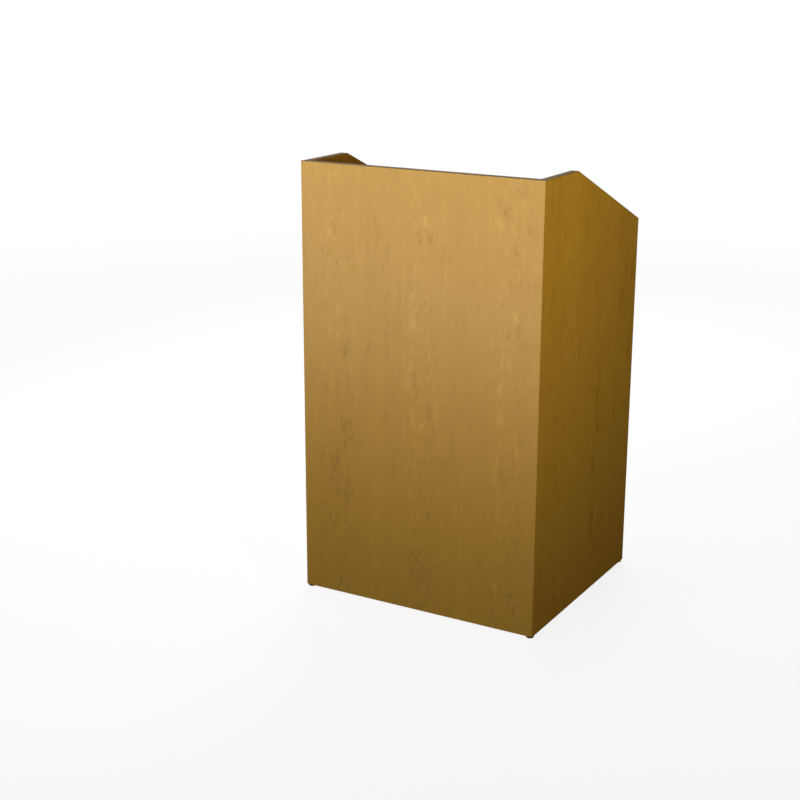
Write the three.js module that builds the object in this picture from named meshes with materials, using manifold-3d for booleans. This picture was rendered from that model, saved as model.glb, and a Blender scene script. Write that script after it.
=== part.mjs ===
// Wooden floor pulpit (lectern): a veneered three-sided cabinet, open towards the speaker, with a
// sunk ledge and a sloping reading desk between its side panels, a loose shelf and a base.
//
// Millimetres, +Z up. The audience is towards -Y and the speaker stands at +Y. Left is -X, as the
// audience sees it. The origin is on the floor, under the middle of the cabinet.

import * as THREE from "three";
import { mergeVertices } from "three/addons/utils/BufferGeometryUtils.js";
import Module from "manifold-3d";

const wasm = await Module();
wasm.setup();

// ---------------------------------------------------------------- driving dimensions

// The cabinet's outside, without its feet
const WIDTH = 686;
const DEPTH = 610;
const PANEL_HEIGHT = 1168;
const REAR_HEIGHT = 992; // of a side panel at its rear edge
const FLAT_TOP = 193; // level part of a side panel's top, from the audience face

const THICK = 20; // every panel
const EDGING = 1; // dark strip glued along the edges that show
const SETBACK = 2; // of desk, apron and base behind the side panels' rear edges

// Ledge and desk
const LEDGE_DROP = 43; // ledge below the panel tops
const RAIL_HEIGHT = 60; // rail under the ledge's rear edge
const APRON_BOTTOM = 870; // above the floor
const BOOK_STOP = { width: 18, height: 18, radius: 5, inset: 10 };

// Battens are softwood, glued and screwed into the inside corners
const CORNER_BATTEN = 30; // square
const BATTEN = { width: 20, height: 30 };
const DESK_BATTEN = { start: 40, end: 400 }; // down the slope, from the ledge's rear edge
const BASE_BATTEN = { width: 25, height: 30 };

// Base and loose shelf
const BASE_TOP = 85; // above the floor
const TOE_RECESS = 50; // toe board, in from the rear
const SHELF = { play: 1, front: -250, rear: 255 };

// Rows of blind holes for the shelf pins
const PIN_HOLE = { radius: 2.6, depth: 10, first: 316, pitch: 32, count: 11, used: 5 };
const PIN_ROWS = [-210, 215];
const PIN = { radius: 2.3, length: 8.5, width: 10, reach: 15, rise: 4, plate: 2, flange: 1.5, play: 0.2 };

// Levelling feet: a plastic pad on an M6 stud, in an insert in a panel's bottom edge
const FOOT_HEIGHT = 5;
const FOOT_INSET = 10.5; // axis, in from both outside faces
const FOOT = { padRadius: 10, studRadius: 3, studLength: 30, insertRadius: 5, insertLength: 22, bore: 31 };

// Cable grommet in the ledge: a liner with a turning, notched cap
const GROMMET = { x: 220, y: -200, holeRadius: 30.2, flangeRadius: 35, capRadius: 26.6, lipRadius: 24.5 };
const NOTCH = { width: 14, depth: 16 };

// Countersunk screws
const SCREW = { headRadius: 4.25, shankRadius: 2.1, headDepth: 2.6, tip: 5, tipRadius: 0.4 };
const RECESS = { radius: 1.5, depth: 1.2 }; // in a screw's head
const BASE_SCREW_ROWS = [-200, 180];
const CORNER_SCREW_LEVELS = { lower: 250, upper: 900 };

const GAP = 0.3; // between faces that only rest on each other
const PLAY = 0.2; // round a piece that is pressed or dropped into a bore
const CUT = 1; // how far a cutter stands out of the face that it cuts

// ---------------------------------------------------------------- levels and faces worked out from them

const bottom = FOOT_HEIGHT;
const top = bottom + PANEL_HEIGHT;
const rearTop = bottom + REAR_HEIGHT;
const halfWidth = WIDTH / 2;
const inside = halfWidth - THICK; // a side panel's inner face
const frontFace = -DEPTH / 2;
const frontInside = frontFace + THICK;
const rearFace = DEPTH / 2;
const rearInset = rearFace - SETBACK;
const peak = frontFace + FLAT_TOP; // where the slope begins

const slope = (top - rearTop) / (rearFace - peak);
const slopeAngle = Math.atan(slope);
const plumb = (thickness) => thickness / Math.cos(slopeAngle); // height of a plumb cut through the slope

const ledgeTop = top - LEDGE_DROP;
const ledgeUnder = ledgeTop - THICK;
const deskTop = (y) => ledgeTop - slope * (y - peak);
const baseUnder = BASE_TOP - THICK;
const shelfUnder = PIN_HOLE.first + PIN_HOLE.pitch * PIN_HOLE.used + PIN.rise;
const shelfHalfWidth = inside - SHELF.play;

// ---------------------------------------------------------------- materials

const finish = (color, roughness, metalness = 0) =>
  new THREE.MeshStandardMaterial({ color, roughness, metalness });

const veneer = () => finish(0xbd9a5d, 0.42);
const edging = () => finish(0x7d5a2b, 0.45);
const maple = () => finish(0xb08747, 0.4);
const batten = () => finish(0xcdb083, 0.7);
const plastic = () => finish(0x1b1b1a, 0.5);
const zinc = () => finish(0xa9abad, 0.35, 1);
const brass = () => finish(0xb08d4a, 0.35, 1);

// ---------------------------------------------------------------- solids

function named(name, geometry, material) {
  const mesh = new THREE.Mesh(geometry, material);
  mesh.name = name;
  return mesh;
}

// A block about its own middle, from its spans in X, Y and Z
const box = ([x0, x1], [y0, y1], [z0, z1]) => new THREE.BoxGeometry(x1 - x0, y1 - y0, z1 - z0);

const middle = (...spans) => spans.map(([low, high]) => (low + high) / 2);

// A plain rectangular piece, its mesh placed at its middle
function block(name, material, ...spans) {
  const mesh = named(name, box(...spans), material);
  mesh.position.set(...middle(...spans));
  return mesh;
}

// A rectangular piece with holes, whose cutters are given in the pulpit's own frame
function drilled(name, material, spans, cutters) {
  return named(name, cut(box(...spans).translate(...middle(...spans)), cutters), material);
}

// An outline in the Y-Z plane, drawn anticlockwise from +X, carried along X from x0 to x1
function across(outline, x0, x1) {
  const shape = outline instanceof THREE.Shape
    ? outline
    : new THREE.Shape(outline.map(([y, z]) => new THREE.Vector2(y, z)));
  const options = { depth: x1 - x0, bevelEnabled: false, curveSegments: 6 };
  const geometry = new THREE.ExtrudeGeometry(shape, options);
  const [x, y, z] = [new THREE.Vector3(1, 0, 0), new THREE.Vector3(0, 1, 0), new THREE.Vector3(0, 0, 1)];
  geometry.applyMatrix4(new THREE.Matrix4().makeBasis(y, z, x));
  geometry.translate(x0, 0, 0);
  return geometry;
}

// A profile of [radius, height] points turned about Z
function turned(profile, segments = 24) {
  const points = profile.map(([radius, height]) => new THREE.Vector2(radius, height));
  return new THREE.LatheGeometry(points, segments).rotateX(Math.PI / 2);
}

// A plain rod about Z, from height z0 to z1
const rod = (radius, z0, z1, segments) =>
  turned([[0, z0], [radius, z0], [radius, z1], [0, z1]], segments);

// ---------------------------------------------------------------- cutting and joining

function toSolid(geometry) {
  const bare = geometry.clone();
  bare.deleteAttribute("normal");
  bare.deleteAttribute("uv");
  const welded = mergeVertices(bare, 1e-4);
  const { array: vertProperties } = welded.attributes.position;
  const triVerts = Uint32Array.from(welded.index.array);
  return new wasm.Manifold(new wasm.Mesh({ numProp: 3, vertProperties, triVerts }));
}

function toGeometry(solid) {
  const { vertProperties, triVerts } = solid.getMesh();
  const geometry = new THREE.BufferGeometry();
  geometry.setAttribute("position", new THREE.BufferAttribute(vertProperties, 3));
  geometry.setIndex(new THREE.BufferAttribute(triVerts, 1));
  geometry.computeVertexNormals();
  return geometry;
}

const cut = (body, cutters) =>
  toGeometry(cutters.reduce((solid, cutter) => solid.subtract(toSolid(cutter)), toSolid(body)));

const join = (bodies) =>
  toGeometry(bodies.map(toSolid).reduce((solid, next) => solid.add(next)));

// ---------------------------------------------------------------- repeated things and where they go

const SIDES = [{ side: "left", sign: -1 }, { side: "right", sign: 1 }];

// A side piece's span in X: `inner` and `outer` are distances from the middle
const spanOn = (sign, inner, outer) => (sign < 0 ? [-outer, -inner] : [inner, outer]);

const feet = SIDES.flatMap(({ side, sign }) =>
  [["front", -1], ["rear", 1]].map(([end, direction]) => ({
    place: `${end}_${side}`,
    end,
    sign,
    x: sign * (halfWidth - FOOT_INSET),
    y: direction * (rearFace - FOOT_INSET),
  })));

const footBore = ({ x, y }) =>
  rod(FOOT.insertRadius + PLAY, bottom - CUT, bottom + FOOT.bore).translate(x, y, 0);

// A countersunk screw with its head at the origin, pointing down; `room` makes the hole for it
function screwShape(length, room = 0) {
  const { headRadius, shankRadius, headDepth, tip, tipRadius } = SCREW;
  const head = room ? [[0, CUT], [headRadius + room, CUT]] : [[0, -RECESS.depth], [RECESS.radius, 0]];
  return turned([
    ...head,
    [headRadius + room, 0],
    [shankRadius + room, -headDepth],
    [shankRadius + room, -length + tip],
    [tipRadius + room, -length - room],
    [0, -length - room],
  ].reverse(), 16);
}

const BASE_SCREW_LENGTH = 35;
const baseScrews = SIDES.flatMap(({ side, sign }) =>
  BASE_SCREW_ROWS.map((y, i) => ({
    name: `base_screw_${["front", "rear"][i]}_${side}`,
    sign,
    length: BASE_SCREW_LENGTH,
    at: new THREE.Vector3(sign * (inside - BASE_BATTEN.width / 2), y, BASE_TOP),
    turn: 0,
  })));

const CORNER_SCREW_LENGTH = 42;
const cornerScrews = SIDES.flatMap(({ side, sign }) =>
  Object.entries(CORNER_SCREW_LEVELS).map(([level, z]) => ({
    name: `corner_screw_${level}_${side}`,
    sign,
    length: CORNER_SCREW_LENGTH,
    at: new THREE.Vector3(sign * (inside - CORNER_BATTEN / 2), frontInside + CORNER_BATTEN, z),
    turn: -Math.PI / 2, // points at the audience
  })));

const screwHole = ({ at, turn, length }) =>
  screwShape(length, GAP).rotateX(turn).translate(at.x, at.y, at.z);

function screws(places) {
  return places.map(({ name, at, turn, length }) => {
    const mesh = named(name, screwShape(length), zinc());
    mesh.position.copy(at);
    mesh.rotation.x = turn;
    return mesh;
  });
}

// ---------------------------------------------------------------- front

function frontPanel() {
  const front = new THREE.Group();
  const core = halfWidth - EDGING;
  const coreTop = top - EDGING;
  const y = [frontFace, frontInside];
  const holes = [...feet.filter(({ end }) => end === "front").map(footBore), ...cornerScrews.map(screwHole)];
  front.add(drilled("front_panel", veneer(), [[-core, core], y, [bottom, coreTop]], holes));
  front.add(block("front_top_edging", edging(), [-halfWidth, halfWidth], y, [coreTop, top]));
  for (const { side, sign } of SIDES) {
    front.add(block(`front_edging_${side}`, veneer(), spanOn(sign, core, halfWidth), y, [bottom, coreTop]));
  }
  return front;
}

// ---------------------------------------------------------------- side panels

// Corners of a side panel's edged edges, outside and inside its edging, from bottom rear to top front
const outer = [[rearFace, bottom], [rearFace, rearTop], [peak, top], [frontInside, top]];
const inner = [
  [rearFace - EDGING, bottom],
  [rearFace - EDGING, rearTop + slope * EDGING - plumb(EDGING)],
  [peak - (plumb(EDGING) - EDGING) / slope, top - EDGING],
  [frontInside, top - EDGING],
];
const EDGED = ["rear_edging", "slope_edging", "top_edging"];

// Blind holes for shelf pins, open to the inside
function pinHoles(sign) {
  const holes = [];
  for (const y of PIN_ROWS) {
    for (let i = 0; i < PIN_HOLE.count; i++) {
      const z = PIN_HOLE.first + i * PIN_HOLE.pitch;
      const hole = rod(PIN_HOLE.radius, -CUT, PIN_HOLE.depth, 12).rotateY(sign * Math.PI / 2);
      holes.push(hole.translate(sign * inside, y, z));
    }
  }
  return holes;
}

function sidePanel({ side, sign }) {
  const panel = new THREE.Group();
  const [x0, x1] = spanOn(sign, inside, halfWidth);
  const core = across([[frontInside, bottom], ...inner], x0, x1);
  const footBores = feet.filter((foot) => foot.end === "rear" && foot.sign === sign).map(footBore);
  panel.add(named(`side_panel_${side}`, cut(core, [...pinHoles(sign), ...footBores]), veneer()));
  EDGED.forEach((edge, i) => {
    const strip = [outer[i], outer[i + 1], inner[i + 1], inner[i]];
    panel.add(named(`${edge}_${side}`, across(strip, x0, x1), edging()));
  });
  return panel;
}

// ---------------------------------------------------------------- ledge with its cable grommet

function ledge() {
  const group = new THREE.Group();
  const x = [-inside, inside];
  const { x: holeX, y: holeY, holeRadius } = GROMMET;
  const hole = rod(holeRadius, ledgeUnder - CUT, ledgeTop + CUT, 32).translate(holeX, holeY, 0);
  group.add(drilled("ledge", veneer(), [x, [frontInside, peak], [ledgeUnder, ledgeTop]], [hole]));
  group.add(block("ledge_rail", maple(), x, [peak - THICK, peak], [ledgeUnder - RAIL_HEIGHT, ledgeUnder]));
  group.add(grommet());
  return group;
}

function grommet() {
  const { holeRadius, flangeRadius, capRadius, lipRadius } = GROMMET;
  const capHeight = 3;
  const flange = 2.5;
  const seat = -1; // top of the lip that the cap turns on
  const group = new THREE.Group();
  group.position.set(GROMMET.x, GROMMET.y, ledgeTop);
  const sleeve = holeRadius - 2 * PLAY;
  const well = capRadius + 2 * PLAY; // that the cap sits in
  group.add(named("grommet_liner", turned([
    [lipRadius, -THICK], [sleeve, -THICK], [sleeve, 0], [flangeRadius, 0],
    [flangeRadius, flange - 1], [flangeRadius - 1, flange],
    [well, flange], [well, seat], [lipRadius, seat], [lipRadius, -THICK],
  ], 32), plastic()));
  const disc = rod(capRadius, 0, capHeight, 32);
  const notch = new THREE.BoxGeometry(NOTCH.width, NOTCH.depth, capHeight + 2 * CUT);
  notch.translate(0, capRadius - NOTCH.depth / 2 + CUT, capHeight / 2);
  const cap = named("grommet_cap", cut(disc, [notch]), plastic());
  cap.position.z = seat + PLAY;
  group.add(cap);
  return group;
}

// ---------------------------------------------------------------- reading desk

function desk() {
  const group = new THREE.Group();
  const edge = rearInset - EDGING;
  const corner = (y, down = 0) => [y, deskTop(y) - down];
  const under = plumb(THICK);
  const strip = (y0, y1) => [corner(y0, under), corner(y1, under), corner(y1), corner(y0)];
  group.add(named("desk", across(strip(peak, edge), -inside, inside), veneer()));
  group.add(named("desk_edging", across(strip(edge, rearInset), -inside, inside), edging()));

  const apronFront = rearInset - THICK;
  const apron = [
    [apronFront, APRON_BOTTOM], [rearInset, APRON_BOTTOM],
    corner(rearInset, under + GAP), corner(apronFront, under + GAP),
  ];
  group.add(named("desk_apron", across(apron, -inside, inside), veneer()));

  // What lies along the slope is drawn flat and tilted with it: +Y runs down the desk
  const tilted = new THREE.Group();
  tilted.position.set(0, peak, ledgeTop);
  tilted.rotation.x = -slopeAngle;
  tilted.add(bookStop());
  const underside = -THICK - GAP;
  const down = [DESK_BATTEN.start, DESK_BATTEN.end];
  for (const { side, sign } of SIDES) {
    const x = spanOn(sign, inside - BATTEN.width, inside - GAP);
    tilted.add(block(`desk_batten_${side}`, batten(), x, down, [underside - BATTEN.height, underside]));
  }
  group.add(tilted);
  return group;
}

// A rail with rounded top edges, standing square on the desk at its lower end
function bookStop() {
  const { width, height, radius, inset } = BOOK_STOP;
  const end = plumb(rearInset - peak) - inset;
  const start = end - width;
  const rail = new THREE.Shape();
  rail.moveTo(start, GAP);
  rail.lineTo(end, GAP);
  rail.lineTo(end, GAP + height - radius);
  rail.absarc(end - radius, GAP + height - radius, radius, 0, Math.PI / 2);
  rail.absarc(start + radius, GAP + height - radius, radius, Math.PI / 2, Math.PI);
  rail.closePath();
  return named("book_stop", across(rail, -inside + GAP, inside - GAP), maple());
}

// ---------------------------------------------------------------- base

function base() {
  const group = new THREE.Group();
  const edge = rearInset - EDGING;
  const x = [-inside, inside];
  const toeRear = rearFace - TOE_RECESS;
  const battenZ = [baseUnder - BASE_BATTEN.height, baseUnder];
  const boardSpans = [x, [frontInside, edge], [baseUnder, BASE_TOP]];
  group.add(drilled("base_panel", veneer(), boardSpans, baseScrews.map(screwHole)));
  group.add(block("base_edging", edging(), x, [edge, rearInset], [baseUnder, BASE_TOP]));
  group.add(block("toe_board", veneer(), x, [toeRear - THICK, toeRear], [bottom, baseUnder]));
  for (const { side, sign } of SIDES) {
    const spans = [spanOn(sign, inside - BASE_BATTEN.width, inside), [frontInside, toeRear - THICK], battenZ];
    const holes = baseScrews.filter((screw) => screw.sign === sign).map(screwHole);
    group.add(drilled(`base_batten_${side}`, batten(), spans, holes));
  }
  const between = inside - BASE_BATTEN.width;
  group.add(block("base_batten_front", batten(), [-between, between],
    [frontInside, frontInside + BATTEN.width], battenZ));
  group.add(...screws(baseScrews));
  return group;
}

// ---------------------------------------------------------------- battens

// In the two front corners and round the underside of the ledge
function battens() {
  const group = new THREE.Group();
  const cornerRear = frontInside + CORNER_BATTEN;
  const z = [ledgeUnder - BATTEN.height, ledgeUnder];
  for (const { side, sign } of SIDES) {
    const spans = [
      spanOn(sign, inside - CORNER_BATTEN, inside), [frontInside, cornerRear], [BASE_TOP, ledgeUnder],
    ];
    const holes = cornerScrews.filter((screw) => screw.sign === sign).map(screwHole);
    group.add(drilled(`corner_batten_${side}`, batten(), spans, holes));
    group.add(block(`ledge_batten_${side}`, batten(), spanOn(sign, inside - BATTEN.width, inside),
      [cornerRear, peak - THICK], z));
  }
  const between = inside - CORNER_BATTEN;
  group.add(block("ledge_batten_front", batten(), [-between, between],
    [frontInside, frontInside + BATTEN.width], z));
  group.add(...screws(cornerScrews));
  return group;
}

// ---------------------------------------------------------------- loose shelf and its pins

function shelf() {
  const group = new THREE.Group();
  const x = [-shelfHalfWidth, shelfHalfWidth];
  const z = [shelfUnder, shelfUnder + THICK];
  const edge = SHELF.rear - EDGING;
  group.add(block("storage_shelf", veneer(), x, [SHELF.front, edge], z));
  group.add(block("shelf_edging", edging(), x, [edge, SHELF.rear], z));
  for (const { side, sign } of SIDES) {
    PIN_ROWS.forEach((y, i) => {
      const pin = shelfPin();
      pin.name = `shelf_pin_${["front", "rear"][i]}_${side}`;
      pin.position.set(sign * inside, y, shelfUnder - PIN.rise);
      pin.rotation.z = sign < 0 ? Math.PI : 0;
      group.add(pin);
    });
  }
  return group;
}

// A bent metal pin: +X goes into the panel, and the shelf rests on the plate at -X
function shelfPin() {
  const { radius, length, width, reach, rise, plate, flange, play } = PIN;
  const y = [-width / 2, width / 2];
  const lift = rise - play; // top of the plate, just under the shelf
  const stem = rod(radius, -flange, length, 12).rotateY(Math.PI / 2);
  const blocks = [
    [[-play - flange, -play], y, [lift - width, lift]],
    [[-reach, -play], y, [lift - plate, lift]],
  ];
  const bent = blocks.map((spans) => box(...spans).translate(...middle(...spans)));
  return new THREE.Mesh(join([stem, ...bent]), brass());
}

// ---------------------------------------------------------------- levelling feet

function foot({ place, x, y }) {
  const { padRadius, studRadius, studLength, insertRadius, insertLength } = FOOT;
  const padTop = FOOT_HEIGHT - GAP;
  const soft = 0.8; // chamfer round the pad
  const socket = 1.5; // floor of the hole that holds the stud
  const group = new THREE.Group();
  group.position.set(x, y, 0);
  group.add(named(`foot_pad_${place}`, turned([
    [0, 0], [padRadius - soft, 0], [padRadius, soft], [padRadius, padTop - soft], [padRadius - soft, padTop],
    [studRadius + GAP, padTop], [studRadius + GAP, socket], [0, socket],
  ]), plastic()));
  group.add(named(`foot_stud_${place}`,
    rod(studRadius, socket + GAP, socket + GAP + studLength, 16), zinc()));
  const bore = studRadius + GAP;
  group.add(named(`foot_insert_${place}`, turned([
    [bore, bottom], [insertRadius, bottom], [insertRadius, bottom + insertLength],
    [bore, bottom + insertLength], [bore, bottom],
  ]), brass()));
  return group;
}

// ---------------------------------------------------------------- the pulpit

const pulpit = new THREE.Group();
pulpit.add(frontPanel());
pulpit.add(...SIDES.map(sidePanel));
pulpit.add(ledge());
pulpit.add(desk());
pulpit.add(base());
pulpit.add(battens());
pulpit.add(shelf());
pulpit.add(...feet.map(foot));

export default pulpit;
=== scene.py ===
# Looks for the wooden pulpit: materials, eased arrises, the fine small parts, a pale studio and the
# camera.
#
# Metres, +Z up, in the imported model's own frame. The audience is towards -Y, the speaker stands at +Y.
# Lengths given in millimetres are written as a number times MM.

import math

import bpy
from mathutils import Matrix, Vector


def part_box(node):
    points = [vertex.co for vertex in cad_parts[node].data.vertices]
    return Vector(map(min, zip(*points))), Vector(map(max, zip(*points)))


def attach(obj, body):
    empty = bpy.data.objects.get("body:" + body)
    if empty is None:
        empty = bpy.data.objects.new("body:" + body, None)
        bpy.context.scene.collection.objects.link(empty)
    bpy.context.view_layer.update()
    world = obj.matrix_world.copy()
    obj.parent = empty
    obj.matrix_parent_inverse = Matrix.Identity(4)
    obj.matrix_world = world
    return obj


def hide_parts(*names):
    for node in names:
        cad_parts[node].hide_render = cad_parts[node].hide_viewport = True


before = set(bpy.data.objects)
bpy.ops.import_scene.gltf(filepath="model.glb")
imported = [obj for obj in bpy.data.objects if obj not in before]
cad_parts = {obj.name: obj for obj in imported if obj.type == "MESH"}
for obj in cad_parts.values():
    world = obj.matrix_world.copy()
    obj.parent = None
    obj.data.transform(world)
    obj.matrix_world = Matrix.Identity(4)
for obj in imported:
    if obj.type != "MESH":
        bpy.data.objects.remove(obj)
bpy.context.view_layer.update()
scene = bpy.context.scene
MM = 0.001
TINY = 1e-7  # two radii or heights that are nearer than this are the same


# ---------------------------------------------------------------- node materials

class Shader:
    """A node material under construction, with short calls for the nodes that the materials share."""

    def __init__(self, name):
        self.material = bpy.data.materials.new(name)
        self.material.use_nodes = True
        self.tree = self.material.node_tree
        self.surface = self.tree.nodes["Principled BSDF"]

    def put(self, value, socket):
        """Links an output to a socket, or sets a plain number or colour on it."""
        if isinstance(value, bpy.types.NodeSocket):
            self.tree.links.new(value, socket)
        elif isinstance(value, (tuple, list)) and len(value) == 3 and socket.type == "RGBA":
            socket.default_value = (*value, 1.0)
        else:
            socket.default_value = value

    def node(self, kind, inputs=(), **settings):
        made = self.tree.nodes.new("ShaderNode" + kind)
        for key, value in settings.items():
            setattr(made, key, value)
        for key, value in dict(inputs).items():
            self.put(value, made.inputs[key])
        return made

    def math(self, operation, a, b=0.0, c=0.0, clamp=False):
        made = self.node("Math", {0: a, 1: b, 2: c}, operation=operation, use_clamp=clamp)
        return made.outputs[0]

    def add(self, value, part, amount, clamp=False):
        """The value plus `amount` times the part."""
        return self.math("MULTIPLY_ADD", part, amount, value, clamp)

    def swing(self, value, noise, amount):
        """The value, moved up and down by noise that lies about 0.5."""
        return self.add(value, self.math("SUBTRACT", noise, 0.5), amount)

    def spread(self, value, low, high, to_low=0.0, to_high=1.0):
        """A smooth step of a value from low..high to to_low..to_high."""
        inputs = {"Value": value, "From Min": low, "From Max": high, "To Min": to_low, "To Max": to_high}
        return self.node("MapRange", inputs, interpolation_type="SMOOTHSTEP").outputs["Result"]

    def mix(self, factor, a, b):
        """A colour that goes from a to b as the factor goes from 0 to 1."""
        made = self.node("Mix", data_type="RGBA")
        self.put(factor, made.inputs[0])
        self.put(a, made.inputs[6])
        self.put(b, made.inputs[7])
        return made.outputs[2]

    def noise(self, place, scale, detail=2.0, roughness=0.5, distortion=0.0):
        """Noise that is `scale` times as fine as one metre along each of the three axes."""
        sized = self.node("VectorMath", {0: place, 1: scale}, operation="MULTIPLY")
        inputs = {
            "Vector": sized.outputs[0],
            "Scale": 1.0,
            "Detail": detail,
            "Roughness": roughness,
            "Distortion": distortion,
        }
        return self.node("TexNoise", inputs).outputs["Fac"]

    def place(self):
        return self.node("TexCoord").outputs["Object"]

    def vector(self, x, y, z):
        return self.node("CombineXYZ", {0: x, 1: y, 2: z}).outputs[0]

    def finish(self, color, roughness, height=None, depth=0.0, **constants):
        """Wires up the surface. `height` runs from 0 to 1 and stands for `depth` metres."""
        self.put(color, self.surface.inputs["Base Color"])
        self.put(roughness, self.surface.inputs["Roughness"])
        for key, value in constants.items():
            self.surface.inputs[key.replace("_", " ")].default_value = value
        if height is not None:
            bump = self.node("Bump", {"Height": height, "Distance": depth, "Strength": 1.0})
            self.put(bump.outputs[0], self.surface.inputs["Normal"])
        return self.material


# ---------------------------------------------------------------- wood

LEAF_WIDTH = 0.25  # of the veneer leaves laid side by side
BUSY_PLACE = 0.22  # where the figured stripe runs in a leaf, as a part of its width
LEAF_RISE = 0.21  # how far each leaf's figure is moved along the grain from its neighbour's
WANDER = 0.012  # how far the grain strays sideways
VARNISH = {"Coat_Weight": 0.35, "Coat_Roughness": 0.28}

# What each part of the veneer's figure adds to its tone, which runs from dark at 0 to light at 1
MEAN_TONE = 0.52
FIBRE_TONE = 0.60
CLOUD_TONE = 0.42
MOTTLE_TONE = 0.56
LEAF_TONE = 0.028
DARK_MARK_TONE = -0.22
PALE_MARK_TONE = 0.16
SMALL_MARK_TONE = -0.17
LINE_TONE = -0.10

VENEER = {"dark": (0.245, 0.115, 0.008), "mid": (0.44, 0.233, 0.022), "light": (0.56, 0.320, 0.050)}
EDGING = {"dark": (0.085, 0.044, 0.007), "mid": (0.165, 0.088, 0.014), "light": (0.24, 0.132, 0.025)}
SOLID = {"dark": (0.20, 0.085, 0.014), "mid": (0.41, 0.195, 0.032), "light": (0.52, 0.275, 0.056)}
PINE = {"dark": (0.36, 0.185, 0.045), "mid": (0.58, 0.375, 0.115), "light": (0.67, 0.475, 0.19)}
CHIP = {"dark": (0.17, 0.105, 0.05), "mid": (0.40, 0.28, 0.15), "light": (0.58, 0.44, 0.27)}


def board_space(s, order, shift):
    """Distances across the grain, along it and through the board, for axes named like "XZY"."""
    split = s.node("SeparateXYZ", {0: s.place()})
    across, along, through = (split.outputs["XYZ".index(axis)] for axis in order)
    wander = s.noise(s.vector(0.0, along, shift), (1.0, 2.3, 1.0), detail=1.0)
    across = s.math("ADD", across, s.math("MULTIPLY_ADD", wander, WANDER, shift))
    return across, along, through


def fibres(s, place):
    """Long fine fibres of three widths, as one value about 0.5."""
    broad = s.noise(place, (95.0, 1.6, 20.0), detail=3.0)
    fine = s.noise(place, (420.0, 5.0, 60.0), detail=2.0)
    hair = s.noise(place, (1500.0, 16.0, 200.0), detail=1.0)
    value = s.math("MULTIPLY", broad, 0.30)
    value = s.add(value, fine, 0.42)
    return s.add(value, hair, 0.28)


def tinted(s, value, tones):
    """A wood colour from dark to light as the value goes from 0 to 1."""
    low = s.mix(s.spread(value, 0.0, 0.5), tones["dark"], tones["mid"])
    return s.mix(s.spread(value, 0.5, 1.0), low, tones["light"])


def streaks(s, place, width, length, low, high):
    """Short marks along the grain, whose edges run from 0 to 1 as their noise goes from low to high."""
    scale = (1.0 / width, 1.0 / length, 30.0)
    marks = s.noise(place, scale, detail=2.0, roughness=0.55, distortion=0.6)
    return s.spread(marks, low, high)


def chipboard(s, axis):
    """Pressed chips, and where they show: on faces that don't look along the board's thickness."""
    chips = s.node("TexVoronoi", {"Vector": s.place(), "Scale": 420.0}, feature="F1")
    grit = s.noise(s.place(), (900.0, 900.0, 900.0), detail=2.0)
    value = s.math("MULTIPLY_ADD", chips.outputs["Distance"], 0.5, s.math("MULTIPLY", grit, 0.55))
    looks = s.node("SeparateXYZ", {0: s.node("TexCoord").outputs["Normal"]})
    facing = s.math("ABSOLUTE", looks.outputs["XYZ".index(axis)])
    return tinted(s, value, CHIP), s.spread(facing, 0.60, 0.75, 1.0, 0.0)


def leaf_figure(s, inside, risen, shift, place, part):
    """The short flecks in a leaf's busy stripe, and fine dark lines in its quiet part, as amounts."""
    far = s.math("ABSOLUTE", s.math("SUBTRACT", part, BUSY_PLACE))
    busy = s.spread(far, 0.05, 0.32, 1.0, 0.25)
    dark = streaks(s, place, 14 * MM, 36 * MM, 0.52, 0.70)
    pale = streaks(s, s.vector(s.math("ADD", inside, 0.31), risen, shift), 13 * MM, 38 * MM, 0.51, 0.70)
    small = streaks(s, s.vector(s.math("ADD", inside, 0.77), risen, shift), 8.5 * MM, 20 * MM, 0.56, 0.70)
    flecks = [s.math("MULTIPLY", marks, busy) for marks in (dark, pale, small)]

    stretched = s.vector(inside, s.math("MULTIPLY", risen, 0.35), 3.1)
    lines = s.noise(stretched, (150.0, 1.2, 1.0), distortion=0.3)
    lines = s.math("MULTIPLY", s.spread(lines, 0.60, 0.70), s.spread(part, 0.55, 0.95, 0.15, 0.6))
    return (*flecks, lines)


def maple_veneer(name, order, shift, core_axis):
    """Varnished maple leaves, slip matched. A board has a chipboard core, seen on its cut edges."""
    s = Shader(name)
    across, along, _ = board_space(s, order, shift)
    leaves = s.math("DIVIDE", across, LEAF_WIDTH)
    leaf = s.math("FLOOR", leaves)
    part = s.math("SUBTRACT", leaves, leaf)
    inside = s.math("MULTIPLY", part, LEAF_WIDTH)
    risen = s.math("MULTIPLY_ADD", leaf, LEAF_RISE, along)
    place = s.vector(inside, risen, s.math("MULTIPLY_ADD", leaf, 0.013, shift))

    dark, pale, small, lines = leaf_figure(s, inside, risen, shift, place, part)
    cloud = s.noise(place, (9.0, 1.3, 8.0), detail=3.0)
    mottle = s.noise(place, (52.0, 13.0, 20.0), detail=3.0, distortion=0.5)
    leaf_tone = s.math("SINE", s.math("MULTIPLY_ADD", leaf, 2.3, shift * 9.0))
    value = s.swing(MEAN_TONE, fibres(s, place), FIBRE_TONE)
    value = s.swing(value, cloud, CLOUD_TONE)
    value = s.swing(value, mottle, MOTTLE_TONE)
    value = s.add(value, leaf_tone, LEAF_TONE)
    value = s.add(value, dark, DARK_MARK_TONE)
    value = s.add(value, pale, PALE_MARK_TONE)
    value = s.add(value, small, SMALL_MARK_TONE)
    value = s.add(value, lines, LINE_TONE, clamp=True)

    color = tinted(s, value, VENEER)
    rough = s.spread(value, 0.2, 0.8, 0.47, 0.38)
    if core_axis:
        core, core_shows = chipboard(s, core_axis)
        color = s.mix(core_shows, color, core)
        rough = s.add(rough, core_shows, 0.35)
    return s.finish(color, rough, value, 0.06 * MM, **VARNISH)


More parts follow.
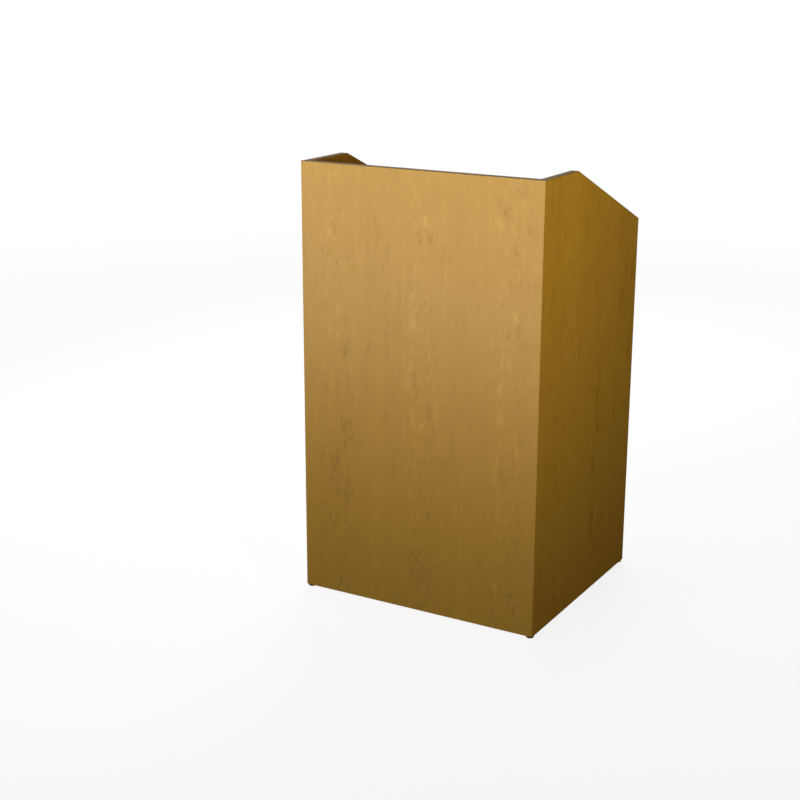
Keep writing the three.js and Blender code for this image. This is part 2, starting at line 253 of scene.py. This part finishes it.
def solid_wood(name, order, tones, shift, roughness=0.42, rings=28.0, coat=True):
    """Plain solid wood with growth rings that run along the piece, `rings` of them in 100 mm."""
    s = Shader(name)
    across, along, through = board_space(s, order, shift)
    place = s.vector(across, along, through)
    bend = s.noise(place, (9.0, 0.9, 9.0), detail=2.0)
    radius = s.math("MULTIPLY_ADD", through, 0.6, across)
    radius = s.add(radius, bend, 0.05)
    ring = s.math("FRACT", s.math("MULTIPLY", radius, rings * 10.0))
    late = s.math("MULTIPLY", s.spread(ring, 0.35, 0.92), s.spread(ring, 0.94, 1.0, 1.0, 0.0))
    value = s.swing(0.60, fibres(s, place), 0.9)
    value = s.add(value, late, -0.22)
    flecks = streaks(s, place, 1.2 * MM, 12 * MM, 0.62, 0.72)
    value = s.add(value, flecks, -0.14, clamp=True)
    rough = s.spread(value, 0.2, 0.8, roughness + 0.06, roughness - 0.04)
    finish = VARNISH if coat else {}
    return s.finish(tinted(s, value, tones), rough, value, 0.15 * MM, **finish)


# ---------------------------------------------------------------- plastic and metal

def black_plastic():
    """Spark-eroded black plastic with faint wear."""
    s = Shader("black_plastic")
    pits = s.noise(s.place(), (2600.0, 2600.0, 2600.0), detail=3.0)
    worn = s.noise(s.place(), (60.0, 60.0, 60.0), detail=4.0)
    color = s.mix(s.spread(worn, 0.4, 0.75), (0.010, 0.010, 0.011), (0.026, 0.025, 0.024))
    rough = s.math("MULTIPLY_ADD", worn, 0.22, 0.38)
    return s.finish(color, rough, pits, 0.06 * MM)


def zinc_steel():
    """Bright zinc plate with a faint yellow passivation."""
    s = Shader("zinc_steel")
    cloud = s.noise(s.place(), (180.0, 180.0, 180.0), detail=4.0)
    scratches = s.noise(s.place(), (2500.0, 2500.0, 300.0), detail=2.0)
    color = s.mix(s.spread(cloud, 0.35, 0.7), (0.56, 0.56, 0.55), (0.66, 0.62, 0.50))
    rough = s.math("MULTIPLY_ADD", cloud, 0.25, 0.20)
    return s.finish(color, rough, scratches, 0.02 * MM, Metallic=1.0)


def brass_plate():
    """Brass plated steel, tarnished in patches."""
    s = Shader("brass_plate")
    cloud = s.noise(s.place(), (240.0, 240.0, 240.0), detail=4.0)
    scratches = s.noise(s.place(), (300.0, 2500.0, 2500.0), detail=2.0)
    color = s.mix(s.spread(cloud, 0.4, 0.75), (0.72, 0.50, 0.20), (0.46, 0.29, 0.11))
    rough = s.math("MULTIPLY_ADD", cloud, 0.28, 0.20)
    return s.finish(color, rough, scratches, 0.02 * MM, Metallic=1.0)


# ---------------------------------------------------------------- which node has which material

# Grain order is across, along, through; the core shows on faces that don't look along the last axis
VENEERED = {
    "front_panel": ("XZY", 0.038, "Y"),
    "front_edging_left": ("YZX", 0.410, None),
    "front_edging_right": ("YZX", 0.530, None),
    "side_panel_left": ("YZX", 0.120, "X"),
    "side_panel_right": ("YZX", 0.205, "X"),
    "ledge": ("YXZ", 0.150, "Z"),
    "desk": ("YXZ", 0.330, "Z"),
    "desk_apron": ("ZXY", 0.070, "Y"),
    "base_panel": ("YXZ", 0.460, "Z"),
    "toe_board": ("ZXY", 0.280, "Y"),
    "storage_shelf": ("YXZ", 0.610, "Z"),
}

LIPPED = {
    "front_top_edging": ("YXZ", 0.10),
    "top_edging_left": ("XYZ", 0.20),
    "top_edging_right": ("XYZ", 0.30),
    "slope_edging_left": ("XYZ", 0.40),
    "slope_edging_right": ("XYZ", 0.50),
    "rear_edging_left": ("XZY", 0.60),
    "rear_edging_right": ("XZY", 0.70),
    "desk_edging": ("ZXY", 0.80),
    "base_edging": ("ZXY", 0.90),
    "shelf_edging": ("ZXY", 1.00),
}

SOLID_MAPLE = {"book_stop": ("YXZ", 0.15), "ledge_rail": ("ZXY", 0.45)}

BATTENS = {
    "corner_batten_left": ("XZY", 0.11),
    "corner_batten_right": ("XZY", 0.22),
    "ledge_batten_left": ("XYZ", 0.33),
    "ledge_batten_right": ("XYZ", 0.44),
    "ledge_batten_front": ("YXZ", 0.55),
    "desk_batten_left": ("XYZ", 0.66),
    "desk_batten_right": ("XYZ", 0.77),
    "base_batten_left": ("XYZ", 0.88),
    "base_batten_right": ("XYZ", 0.99),
    "base_batten_front": ("YXZ", 1.10),
}

# How far the arrises are eased
FLUSH_ARRIS = 0.25 * MM
STRIP_ARRIS = 0.2 * MM
SMALL_ARRIS = 0.25 * MM
BATTEN_ARRIS = 1.2 * MM


def dress(node, material, arris):
    """Gives a CAD node its material, and eases its arrises."""
    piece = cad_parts[node]
    for slot in piece.material_slots:
        slot.material = material
    weld = piece.modifiers.new("weld", "WELD")
    weld.merge_threshold = 0.001 * MM
    flat = piece.modifiers.new("whole faces", "DECIMATE")
    flat.decimate_type = "DISSOLVE"
    flat.angle_limit = math.radians(0.5)
    ease_edges(piece, arris, segments=2, sharper_than=40)


def ease_edges(piece, width, segments, sharper_than):
    """Rounds the edges that bend by more than an angle in degrees, and keeps the flats flat."""
    ease = piece.modifiers.new("eased edges", "BEVEL")
    ease.width = width
    ease.segments = segments
    ease.limit_method = "ANGLE"
    ease.angle_limit = math.radians(sharper_than)
    even = piece.modifiers.new("even shading", "WEIGHTED_NORMAL")
    even.weight = 100


def dress_cad():
    """Dresses every CAD node that stays in view."""
    for node, (order, shift, core_axis) in VENEERED.items():
        dress(node, maple_veneer(f"veneer_{node}", order, shift, core_axis), FLUSH_ARRIS)
    for node, (order, shift) in LIPPED.items():
        strip = solid_wood(f"edging_{node}", order, EDGING, shift, roughness=0.62, coat=False)
        dress(node, strip, STRIP_ARRIS)
    for node, (order, shift) in SOLID_MAPLE.items():
        dress(node, solid_wood(f"maple_{node}", order, SOLID, shift), BATTEN_ARRIS)
    for node, (order, shift) in BATTENS.items():
        wood = solid_wood(f"pine_{node}", order, PINE, shift, roughness=0.62, rings=24.0, coat=False)
        dress(node, wood, BATTEN_ARRIS)
    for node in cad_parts:
        if node.startswith(("shelf_pin", "foot_insert")):
            dress(node, BRASS, SMALL_ARRIS)


PLASTIC, ZINC, BRASS = black_plastic(), zinc_steel(), brass_plate()
dress_cad()


# ---------------------------------------------------------------- fine small parts

def piece_from(name, points, faces, material):
    """A smooth-shaded object of points and faces, in the scene."""
    mesh = bpy.data.meshes.new(name)
    mesh.from_pydata(points, [], faces)
    mesh.validate()
    mesh.shade_smooth()
    mesh.materials.append(material)
    made = bpy.data.objects.new(name, mesh)
    scene.collection.objects.link(made)
    return made


def stand_in(piece, node, body):
    """The piece is shown for a CAD node, and rides where it rides."""
    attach(piece, body)
    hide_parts(node)


def turned(profile, segments, shape=None):
    """Points and faces of a profile of (radius, height) points turned about Z, from the bottom up.

    `shape` changes a point: it takes the angle, radius and height, and gives a radius and a height.
    """
    points, rings = [], []
    for radius, height in profile:
        if radius < TINY:
            rings.append([len(points)])
            points.append((0.0, 0.0, height if shape is None else shape(0.0, 0.0, height)[1]))
            continue
        ring = []
        for k in range(segments):
            angle = 2 * math.pi * k / segments
            r, h = (radius, height) if shape is None else shape(angle, radius, height)
            ring.append(len(points))
            points.append((r * math.cos(angle), r * math.sin(angle), h))
        rings.append(ring)
    faces = []
    for low, high in zip(rings, rings[1:]):
        for k in range(segments):
            j = (k + 1) % segments
            if len(low) == 1:
                faces.append((low[0], high[j], high[k]))
            elif len(high) == 1:
                faces.append((low[k], low[j], high[0]))
            else:
                faces.append((low[k], low[j], high[j], high[k]))
    return points, faces


def arc(centre_radius, centre_height, size, start, end, steps=5):
    """Profile points round an arc, with its angles in degrees from the outward direction."""
    angles = [math.radians(start + (end - start) * i / steps) for i in range(steps + 1)]
    return [(centre_radius + size * math.cos(a), centre_height + size * math.sin(a)) for a in angles]


def middle_of(node):
    """A CAD node's middle, and its lowest and highest corners."""
    low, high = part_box(node)
    return (low + high) / 2, low, high


def threaded(core, crest, pitch):
    """A shape for turned(): a ridge that winds round wherever the profile stands at the crest."""
    def shape(angle, radius, height):
        if abs(radius - crest) > TINY:
            return radius, height
        phase = (height / pitch - angle / (2 * math.pi)) % 1.0
        ridge = 1 - abs(2 * phase - 1)
        return core + (crest - core) * min(1.0, 1.4 * ridge), height
    return shape


def rod_profile(radius, start, end, step):
    """Profile points up a straight rod, about a step apart."""
    count = max(1, round((end - start) / step))
    return [(radius, start + (end - start) * i / count) for i in range(count + 1)]


def foot_pad(place):
    """A round pad: a shallow groove in its sole, a socket for the stud on top, and fine ribs round it."""
    node = f"foot_pad_{place}"
    centre, low, high = middle_of(node)
    radius, height = (high.x - low.x) / 2, high.z - low.z
    soft = 0.8 * MM
    groove = 0.25 * MM
    bore = 3.3 * MM
    socket = 1.5 * MM
    sunk = 0.4 * MM
    profile = [(0.0, 0.0), (radius * 0.55, 0.0), (radius * 0.6, groove), (radius * 0.78, groove)]
    profile += [(radius * 0.82, 0.0)]
    profile += arc(radius - soft, soft, soft, -90, 0)
    profile += arc(radius - soft, height - soft, soft, 0, 90)
    profile += [(bore + 1.6 * MM, height), (bore + 1.2 * MM, height - sunk), (bore, height - sunk)]
    profile += [(bore, socket), (0.0, socket)]
    ribs = 36
    rib_depth = 0.35 * MM
    rim = radius - 0.05 * MM

    def ribbed(angle, r, h):
        dip = rib_depth * max(0.0, math.cos(ribs * angle)) ** 2
        return (r - dip if r > rim else r), h

    points, faces = turned(profile, 4 * ribs, ribbed)
    made = piece_from(f"{node}_ribbed", points, faces, PLASTIC)
    made.location = (centre.x, centre.y, low.z)
    stand_in(made, node, f"foot_{place}")


def foot_stud(place):
    """A stud threaded from end to end, with chamfered ends."""
    node = f"foot_stud_{place}"
    centre, low, high = middle_of(node)
    radius, height = (high.x - low.x) / 2, high.z - low.z
    pitch = 1.0 * MM
    chamfer = 0.6 * MM
    root = radius - chamfer
    profile = [(0.0, 0.0), (root, 0.0)]
    profile += rod_profile(radius, chamfer, height - chamfer, pitch / 6)
    profile += [(root, height), (0.0, height)]
    points, faces = turned(profile, 32, threaded(root, radius, pitch))
    made = piece_from(f"{node}_threaded", points, faces, ZINC)
    made.location = (centre.x, centre.y, low.z)
    stand_in(made, node, f"foot_{place}")


def cross_recess(size):
    """A shape for turned(): presses a cross into the head of a screw whose top is at height 0."""
    half, reach, depth = 0.13 * size, 0.56 * size, 0.36 * size

    def shape(angle, radius, height):
        if height < -TINY or radius > 0.98 * size:
            return radius, height
        x, y = abs(radius * math.cos(angle)), abs(radius * math.sin(angle))
        across = min(1.0, max(0.0, (1.9 * half - min(x, y)) / (0.9 * half)))
        along = min(1.0, max(0.0, (reach - radius) / (0.35 * reach)))
        return radius, height - depth * across * along
    return shape


def cross_head_screw(node, towards_front):
    """A countersunk screw: cross recess, cone, plain neck and a coarse thread down to its point."""
    centre, low, high = middle_of(node)
    size = high - low
    length = size.y if towards_front else size.z
    head = size.x / 2
    head_top = head - 0.1 * MM
    head_depth = 2.6 * MM
    neck = 2.1 * MM
    waist = neck - 0.25 * MM
    core = 1.35 * MM
    pitch = 1.8 * MM
    point = 5 * MM
    plain_end = -length * 0.30
    profile = [(0.0, -length), (0.35 * MM, -length + 0.4 * MM)]
    profile += [(core, -length + point), (neck, -length + point + 0.5 * MM)]
    profile += rod_profile(neck, -length + point + 1 * MM, plain_end, pitch / 6)
    profile += [(waist, plain_end + 0.5 * MM), (waist, -head_depth - 0.2 * MM)]
    profile += [(neck, -head_depth), (head, -0.35 * MM), (head, -0.1 * MM), (head_top, 0.0)]
    rings = 14
    profile += [(head_top * (1 - i / rings), 0.0) for i in range(1, rings + 1)]
    recess, thread = cross_recess(head), threaded(core, neck, pitch)

    def shape(angle, radius, height):
        if height > -TINY:
            return recess(angle, radius, height)
        return thread(angle, radius, height) if height <= plain_end + TINY else (radius, height)

    points, faces = turned(profile, 64, shape)
    made = piece_from(f"{node}_cross_head", points, faces, ZINC)
    if towards_front:
        laid = Matrix.Rotation(-math.pi / 2, 4, "X")
        made.matrix_world = Matrix.Translation((centre.x, high.y, centre.z)) @ laid
    else:
        made.location = (centre.x, centre.y, high.z)
    stand_in(made, node, "cabinet")


def grommet_liner():
    """The liner's flange has a rounded rim, and a lip that the cap turns on."""
    centre, low, high = middle_of("grommet_liner")
    cap_low, cap_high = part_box("grommet_cap")
    ledge_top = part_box("ledge")[1].z
    well = (cap_high.x - cap_low.x) / 2 + 0.4 * MM
    flange = (high.x - low.x) / 2
    sleeve = 29.8 * MM
    bore = 24.5 * MM
    bottom = low.z - ledge_top
    seat = cap_low.z - ledge_top - 0.2 * MM
    top = high.z - ledge_top
    soft = 1.6 * MM
    edge = 0.4 * MM
    profile = [(bore, bottom + edge), (bore + edge, bottom), (sleeve - edge, bottom)]
    profile += [(sleeve, bottom + edge), (sleeve, 0.0), (flange - edge, 0.0), (flange, edge)]
    profile += arc(flange - soft, top - soft, soft, 0, 90, 8)
    profile += [(well + edge, top), (well, top - edge), (well, seat), (bore + edge, seat)]
    profile += [(bore, seat - edge)]
    segments = 128
    points, faces = turned(profile, segments)
    last = (len(profile) - 1) * segments
    for k in range(segments):
        j = (k + 1) % segments
        faces.append((last + k, last + j, j, k))
    made = piece_from("grommet_liner_rounded", points, faces, PLASTIC)
    made.location = (centre.x, centre.y, ledge_top)
    stand_in(made, "grommet_liner", "cabinet")


def grommet_cap():
    """A disc with a cable notch that opens through its rim, all its edges eased."""
    low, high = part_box("grommet_cap")
    radius = (high.x - low.x) / 2
    thick = high.z - low.z
    half = 7 * MM  # of the notch's width
    floor = radius - 15 * MM  # of the notch, from the cap's middle
    corner = 3 * MM
    open_angle = math.degrees(math.acos(half / radius))
    outline = arc(0.0, 0.0, radius, 180 - open_angle, 360 + open_angle, 120)
    outline += arc(half - corner, floor + corner, corner, 0, -90, 8)
    outline += arc(-half + corner, floor + corner, corner, -90, -180, 8)
    count = len(outline)
    points = [(x, y, 0.0) for x, y in outline] + [(x, y, thick) for x, y in outline]
    faces = [tuple(reversed(range(count))), tuple(range(count, 2 * count))]
    faces += [(k, (k + 1) % count, (k + 1) % count + count, k + count) for k in range(count)]
    made = piece_from("grommet_cap_notched", points, faces, PLASTIC)
    made.location = ((low.x + high.x) / 2, (low.y + high.y) / 2, low.z)
    ease_edges(made, 0.5 * MM, segments=3, sharper_than=50)
    stand_in(made, "grommet_cap", "grommet_cap")


for end in ("front", "rear"):
    for side in ("left", "right"):
        foot_pad(f"{end}_{side}")
        foot_stud(f"{end}_{side}")
        cross_head_screw(f"base_screw_{end}_{side}", towards_front=False)
for level in ("lower", "upper"):
    for side in ("left", "right"):
        cross_head_screw(f"corner_screw_{level}_{side}", towards_front=True)
grommet_liner()
grommet_cap()


# ---------------------------------------------------------------- studio

WHITE = (1.0, 1.0, 1.0)
WARM = (1.0, 0.93, 0.76)
AMBIENT_TINT = (1.0, 0.86, 0.62)
FLOOR_REACH = 30.0
FLOOR_FADE = (1.2, 6.0)  # distances from the middle, between which the floor goes over into white


def studio_floor():
    """A very pale floor that fades into the white round it."""
    rings, segments = 12, 96
    profile = [(FLOOR_REACH * (i / rings) ** 2, 0.0) for i in range(rings + 1)]
    points, faces = turned(list(reversed(profile)), segments)
    s = Shader("studio_floor")
    split = s.node("SeparateXYZ", {0: s.place()})
    flat = s.vector(split.outputs[0], split.outputs[1], 0.0)
    away = s.node("VectorMath", {0: flat}, operation="LENGTH").outputs["Value"]
    paper = s.noise(s.place(), (3.0, 3.0, 3.0), detail=4.0)
    tone = s.math("MULTIPLY_ADD", paper, 0.01, 0.83)
    glow = s.spread(away, *FLOOR_FADE, 0.86, 1.0)
    s.put(WHITE, s.surface.inputs["Emission Color"])
    s.put(glow, s.surface.inputs["Emission Strength"])
    fade = s.spread(away, *FLOOR_FADE, 0.16, 0.0)
    gray = s.math("MULTIPLY", tone, fade)
    s.surface.inputs["Specular IOR Level"].default_value = 0.0
    floor = piece_from("studio_floor", points, faces, s.finish(s.vector(gray, gray, gray), 0.9))
    see_through_from_below(s)
    floor.visible_diffuse = False
    floor.visible_glossy = False


def see_through_from_below(s):
    """Makes the material clear on a surface's back."""
    back = s.node("NewGeometry").outputs["Backfacing"]
    clear = s.node("BsdfTransparent").outputs[0]
    either = s.node("MixShader", {0: back, 1: s.surface.outputs[0], 2: clear})
    s.put(either.outputs[0], s.tree.nodes["Material Output"].inputs["Surface"])


def surroundings(ambient, gloss, backdrop):
    """Dim even light on the object, and a white backdrop where the camera looks past it."""
    world = bpy.data.worlds.new("studio")
    scene.world = world
    world.use_nodes = True
    nodes, links = world.node_tree.nodes, world.node_tree.links
    background = nodes["Background"]
    rays = nodes.new("ShaderNodeLightPath")
    tint = nodes.new("ShaderNodeMix")
    tint.data_type = "RGBA"
    links.new(rays.outputs["Is Camera Ray"], tint.inputs[0])
    tint.inputs[6].default_value = (*AMBIENT_TINT, 1.0)
    tint.inputs[7].default_value = (*WHITE, 1.0)
    links.new(tint.outputs[2], background.inputs["Color"])
    strength = ambient
    for ray, level in (("Is Glossy Ray", gloss), ("Is Camera Ray", backdrop)):
        pick = nodes.new("ShaderNodeMix")
        links.new(rays.outputs[ray], pick.inputs[0])
        if isinstance(strength, float):
            pick.inputs[2].default_value = strength
        else:
            links.new(strength, pick.inputs[2])
        pick.inputs[3].default_value = level
        strength = pick.outputs[0]
    links.new(strength, background.inputs["Strength"])


def soft_light(name, place, aim, size, power, spread=180, lights=True, shines=True,
               color=WHITE):
    """A softbox, unseen by the camera: `lights` surfaces, and `shines` in their varnish."""
    data = bpy.data.lights.new(name, "AREA")
    data.shape = "RECTANGLE"
    data.size, data.size_y = size
    data.energy = power
    data.color = color
    data.spread = math.radians(spread)
    made = bpy.data.objects.new(name, data)
    made.location = place
    made.rotation_euler = (Vector(aim) - Vector(place)).to_track_quat("-Z", "Y").to_euler()
    made.visible_camera = False
    made.visible_diffuse = lights
    made.visible_glossy = shines
    scene.collection.objects.link(made)


def camera():
    """The front and the right side, from above the top."""
    data = bpy.data.cameras.new("camera")
    data.lens = 68.43
    data.sensor_width = 36.0
    data.clip_start, data.clip_end = 0.05, 100.0
    place = (1.826, -3.557, 1.684)
    heading, looking_down, leaning = 29.96, 16.40, 0.19  # degrees
    turn = Matrix.Rotation(math.radians(heading), 4, "Z")
    tip = Matrix.Rotation(math.radians(90 - looking_down), 4, "X")
    roll = Matrix.Rotation(math.radians(leaning), 4, "Z")
    made = bpy.data.objects.new("camera", data)
    made.matrix_world = Matrix.Translation(place) @ turn @ tip @ roll
    scene.collection.objects.link(made)
    scene.camera = made


studio_floor()
surroundings(ambient=0.055, gloss=0.015, backdrop=1.0)
soft_light("front_key", (-1.0, -2.3, 1.85), (-0.25, -0.3, 1.45), (2.4, 0.9), 24.5,
           spread=122, shines=False)
soft_light("front_card", (-0.95, -2.0, 1.15), (-0.95, 0.0, 1.15), (3.0, 2.1), 53,
           lights=False, color=WARM)
soft_light("right_fill", (2.3, -1.1, 1.15), (0.3, -0.2, 1.85), (1.6, 0.5), 22,
           spread=120, shines=False, color=WARM)
soft_light("rear_fill", (-1.3, 3.0, 2.6), (0.0, 0.2, 0.8), (2.4, 1.6), 125, shines=False)
soft_light("left_fill", (-2.6, 0.3, 2.0), (-0.3, 0.0, 1.0), (1.8, 1.2), 34)
soft_light("top_card", (0.0, -1.6, 3.0), (0.0, 0.1, 1.0), (4.5, 3.0), 30, lights=False)
soft_light("left_card", (-2.8, 0.5, 1.2), (-0.3, 0.3, 1.2), (2.6, 2.0), 30, lights=False)
soft_light("rear_card", (-1.4, 2.8, 1.4), (-1.4, 0.0, 1.4), (2.2, 1.8), 24, lights=False)
camera()
scene.view_settings.view_transform = "Standard"
